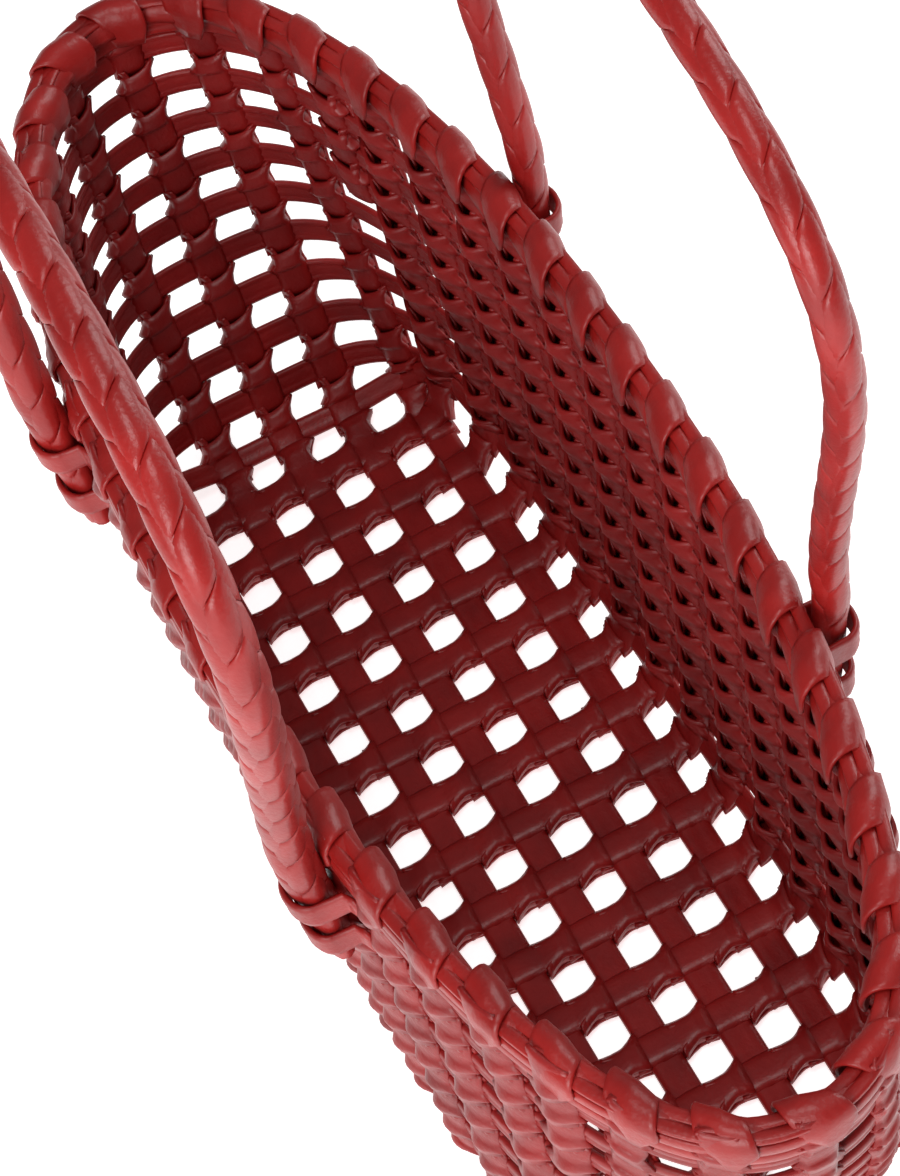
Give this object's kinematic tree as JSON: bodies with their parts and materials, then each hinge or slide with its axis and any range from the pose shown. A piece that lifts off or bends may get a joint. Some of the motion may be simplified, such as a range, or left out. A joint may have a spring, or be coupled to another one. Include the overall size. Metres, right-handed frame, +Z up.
{
  "type": "woven leather basket bag",
  "caption": "Open oval basket woven from red leather straps, with a folded, laced rim and braided rope handles that swing over the mouth.",
  "frame": {"origin": "under the middle of the base, on the surface that the basket stands on", "axes": "+X along the basket's long sides, +Y across it towards the right handle, +Z up"},
  "size_m": [0.3868, 0.1446, 0.2985],
  "materials": {
    "weave_leather": "semi-gloss dyed strap leather, woven open with see-through gaps",
    "rim_leather": "semi-gloss dyed strap leather, folded and laced over the rim",
    "handle_leather": "semi-gloss dyed leather, plaited round"
  },
  "bodies": {
    "basket": {"long_strap_1": "weave_leather", "long_strap_2": "weave_leather", "long_strap_3": "weave_leather", "long_strap_4": "weave_leather", "long_strap_5": "weave_leather", "cross_strap_1": "weave_leather", "cross_strap_2": "weave_leather", "cross_strap_3": "weave_leather", "cross_strap_4": "weave_leather", "cross_strap_5": "weave_leather", "cross_strap_6": "weave_leather", "cross_strap_7": "weave_leather", "cross_strap_8": "weave_leather", "cross_strap_9": "weave_leather", "cross_strap_10": "weave_leather", "cross_strap_11": "weave_leather", "cross_strap_12": "weave_leather", "cross_strap_13": "weave_leather", "cross_strap_14": "weave_leather", "corner_upright_1": "weave_leather", "corner_upright_2": "weave_leather", "corner_upright_3": "weave_leather", "corner_upright_4": "weave_leather", "wall_band_1": "weave_leather", "wall_band_2": "weave_leather", "wall_band_3": "weave_leather", "wall_band_4": "weave_leather", "wall_band_5": "weave_leather", "wall_band_6": "weave_leather", "wall_band_7": "weave_leather", "wall_band_8": "weave_leather", "wall_band_9": "weave_leather", "rim_outer_band": "rim_leather", "rim_inner_band": "rim_leather", "rim_cap": "rim_leather", "left_rear_tail": "handle_leather", "left_rear_keeper_1": "rim_leather", "left_rear_keeper_2": "rim_leather", "left_front_tail": "handle_leather", "left_front_keeper_1": "rim_leather", "left_front_keeper_2": "rim_leather", "right_rear_tail": "handle_leather", "right_rear_keeper_1": "rim_leather", "right_rear_keeper_2": "rim_leather", "right_front_tail": "handle_leather", "right_front_keeper_1": "rim_leather", "right_front_keeper_2": "rim_leather"},
    "left_handle": {"left_handle": "handle_leather"},
    "right_handle": {"right_handle": "handle_leather"}
  },
  "joints": [
    {"name": "left_handle_swing", "type": "hinge", "parent": "basket", "child": "left_handle", "pos_m": [0, -0.06679, 0.1415], "axis": [1, 0, 0], "range_deg": [-23, 90]},
    {"name": "right_handle_swing", "type": "hinge", "parent": "basket", "child": "right_handle", "pos_m": [0, 0.06679, 0.1415], "axis": [1, 0, 0], "range_deg": [-90, 23]}
  ]
}
